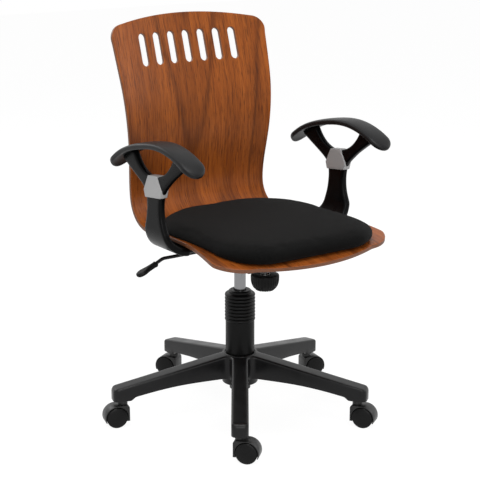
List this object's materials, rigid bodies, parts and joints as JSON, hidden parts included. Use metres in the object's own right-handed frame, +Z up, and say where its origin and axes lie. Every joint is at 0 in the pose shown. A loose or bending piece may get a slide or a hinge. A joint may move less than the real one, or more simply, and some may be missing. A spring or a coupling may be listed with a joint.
{
  "type": "swivel chair",
  "caption": "Swivel chair with a bent plywood shell and slotted back, fabric cushion, T armrests, tilt mechanism, gas lift and a star base on casters.",
  "frame": {"origin": "on the floor under the swivel axis", "axes": "+Z up along the swivel axis, the chair faces -Y, the sitter's right is -X"},
  "size_m": [0.6496, 0.6589, 0.938],
  "materials": {
    "base_plastic": "satin black moulded nylon",
    "sleeve_plastic": "satin black",
    "bellows_rubber": "soft black, ribbed",
    "bush_plastic": "pale acetal",
    "plain_steel": "plain turned steel",
    "black_steel": "black powder coat",
    "bright_chrome": "polished",
    "knob_plastic": "satin black",
    "plywood": "satin lacquered rosewood veneer over plies",
    "black_fabric": "tight black weave",
    "board_wood": "bare plywood",
    "spacer_rubber": "black",
    "arm_plastic": "satin black moulded nylon",
    "arm_trim": "silver paint, satin",
    "pad_plastic": "satin black",
    "caster_plastic": "satin black",
    "wheel_plastic": "satin black"
  },
  "bodies": {
    "base": {"star_base": "base_plastic", "stem_sockets": "plain_steel", "column_tube": "black_steel", "column_sleeve": "sleeve_plastic", "bellows": "bellows_rubber", "guide_bushing": "bush_plastic"},
    "spindle": {"piston_rod": "plain_steel", "thrust_bearing": "plain_steel", "retaining_clip": "plain_steel"},
    "lift": {"gas_cylinder": "bright_chrome", "mechanism_housing": "black_steel", "pivot_pin": "plain_steel"},
    "release_pin": {"release_pin": "plain_steel"},
    "height_lever": {"lever_rod": "black_steel", "lever_grip": "knob_plastic"},
    "seat": {"seat_plate": "black_steel", "pivot_bushes": "bush_plastic", "tension_bolt": "plain_steel", "tension_spring": "plain_steel", "spacer_pads": "spacer_rubber", "plywood_shell": "plywood", "seat_cushion": "black_fabric", "cushion_board": "board_wood", "board_screws": "plain_steel", "t_nuts": "plain_steel", "mechanism_bolts": "plain_steel", "arm_bolts": "plain_steel", "arm_right_frame": "arm_plastic", "arm_right_collar": "arm_trim", "arm_right_pad": "pad_plastic", "arm_left_frame": "arm_plastic", "arm_left_collar": "arm_trim", "arm_left_pad": "pad_plastic"},
    "tension_knob": {"tension_knob": "knob_plastic"},
    "caster_1": {"caster_1_hood": "caster_plastic", "caster_1_stem": "plain_steel", "caster_1_axle": "plain_steel"},
    "caster_1_wheel_a": {"caster_1_wheel_a": "wheel_plastic"},
    "caster_1_wheel_b": {"caster_1_wheel_b": "wheel_plastic"},
    "caster_2": {"caster_2_hood": "caster_plastic", "caster_2_stem": "plain_steel", "caster_2_axle": "plain_steel"},
    "caster_2_wheel_a": {"caster_2_wheel_a": "wheel_plastic"},
    "caster_2_wheel_b": {"caster_2_wheel_b": "wheel_plastic"},
    "caster_3": {"caster_3_hood": "caster_plastic", "caster_3_stem": "plain_steel", "caster_3_axle": "plain_steel"},
    "caster_3_wheel_a": {"caster_3_wheel_a": "wheel_plastic"},
    "caster_3_wheel_b": {"caster_3_wheel_b": "wheel_plastic"},
    "caster_4": {"caster_4_hood": "caster_plastic", "caster_4_stem": "plain_steel", "caster_4_axle": "plain_steel"},
    "caster_4_wheel_a": {"caster_4_wheel_a": "wheel_plastic"},
    "caster_4_wheel_b": {"caster_4_wheel_b": "wheel_plastic"},
    "caster_5": {"caster_5_hood": "caster_plastic", "caster_5_stem": "plain_steel", "caster_5_axle": "plain_steel"},
    "caster_5_wheel_a": {"caster_5_wheel_a": "wheel_plastic"},
    "caster_5_wheel_b": {"caster_5_wheel_b": "wheel_plastic"}
  },
  "joints": [
    {"name": "seat_swivel", "type": "hinge", "parent": "base", "child": "spindle", "pos_m": [0, 0, 0.06], "axis": [0, 0, 1], "continuous": true},
    {"name": "height_slide", "type": "slide", "parent": "spindle", "child": "lift", "axis": [0, 0, 1], "range_m": [-0.055, 0.055]},
    {"name": "seat_tilt", "type": "hinge", "parent": "lift", "child": "seat", "pos_m": [0, -0.05, 0.414], "axis": [-1, 0, 0], "range_deg": [0, 12], "stiffness_Nm_per_rad": 120, "springref_deg": -14.32, "deforming": ["tension_spring"]},
    {"name": "knob_turn", "type": "hinge", "parent": "seat", "child": "tension_knob", "pos_m": [0, -0.1, 0.35], "axis": [0, 0, 1], "range_deg": [-360, 720]},
    {"name": "lever_pull", "type": "hinge", "parent": "lift", "child": "height_lever", "pos_m": [-0.0605, 0, 0.418], "axis": [0, 1, 0], "range_deg": [0, 4.5], "stiffness_Nm_per_rad": 3, "springref_deg": -8.59},
    {"name": "release_push", "type": "slide", "parent": "lift", "child": "release_pin", "axis": [0, 0, -1], "range_m": [0, 0.0052]},
    {"name": "caster_1_swivel", "type": "hinge", "parent": "base", "child": "caster_1", "pos_m": [-0.16634, -0.23755, 0.07], "axis": [0, 0, 1], "continuous": true},
    {"name": "caster_1_wheel_a_spin", "type": "hinge", "parent": "caster_1", "child": "caster_1_wheel_a", "pos_m": [-0.15453, -0.25114, 0.025], "axis": [-0.7547, -0.6561, 0], "continuous": true},
    {"name": "caster_1_wheel_b_spin", "type": "hinge", "parent": "caster_1", "child": "caster_1_wheel_b", "pos_m": [-0.15453, -0.25114, 0.025], "axis": [-0.7547, -0.6561, 0], "continuous": true},
    {"name": "caster_2_swivel", "type": "hinge", "parent": "base", "child": "caster_2", "pos_m": [0.17453, -0.2316, 0.07], "axis": [0, 0, 1], "continuous": true},
    {"name": "caster_2_wheel_a_spin", "type": "hinge", "parent": "caster_2", "child": "caster_2_wheel_a", "pos_m": [0.18407, -0.24687, 0.025], "axis": [-0.848, -0.5299, 0], "continuous": true},
    {"name": "caster_2_wheel_b_spin", "type": "hinge", "parent": "caster_2", "child": "caster_2_wheel_b", "pos_m": [0.18407, -0.24687, 0.025], "axis": [-0.848, -0.5299, 0], "continuous": true},
    {"name": "caster_3_swivel", "type": "hinge", "parent": "base", "child": "caster_3", "pos_m": [0.2742, 0.09441, 0.07], "axis": [0, 0, 1], "continuous": true},
    {"name": "caster_3_wheel_a_spin", "type": "hinge", "parent": "caster_3", "child": "caster_3_wheel_a", "pos_m": [0.29193, 0.09129, 0.025], "axis": [-0.1736, -0.9848, 0], "continuous": true},
    {"name": "caster_3_wheel_b_spin", "type": "hinge", "parent": "caster_3", "child": "caster_3_wheel_b", "pos_m": [0.29193, 0.09129, 0.025], "axis": [-0.1736, -0.9848, 0], "continuous": true},
    {"name": "caster_4_swivel", "type": "hinge", "parent": "base", "child": "caster_4", "pos_m": [-0.00506, 0.28996, 0.07], "axis": [0, 0, 1], "continuous": true},
    {"name": "caster_4_wheel_a_spin", "type": "hinge", "parent": "caster_4", "child": "caster_4_wheel_a", "pos_m": [-0.01406, 0.30554, 0.025], "axis": [0.866, 0.5, 0], "continuous": true},
    {"name": "caster_4_wheel_b_spin", "type": "hinge", "parent": "caster_4", "child": "caster_4_wheel_b", "pos_m": [-0.01406, 0.30554, 0.025], "axis": [0.866, 0.5, 0], "continuous": true},
    {"name": "caster_5_swivel", "type": "hinge", "parent": "base", "child": "caster_5", "pos_m": [-0.27733, 0.08479, 0.07], "axis": [0, 0, 1], "continuous": true},
    {"name": "caster_5_wheel_a_spin", "type": "hinge", "parent": "caster_5", "child": "caster_5_wheel_a", "pos_m": [-0.29472, 0.08945, 0.025], "axis": [0.2588, 0.9659, 0], "continuous": true},
    {"name": "caster_5_wheel_b_spin", "type": "hinge", "parent": "caster_5", "child": "caster_5_wheel_b", "pos_m": [-0.29472, 0.08945, 0.025], "axis": [0.2588, 0.9659, 0], "continuous": true}
  ],
  "couplings": [
    {"joint": "release_push", "follows": "lever_pull", "m_per_rad": 0.0645}
  ]
}
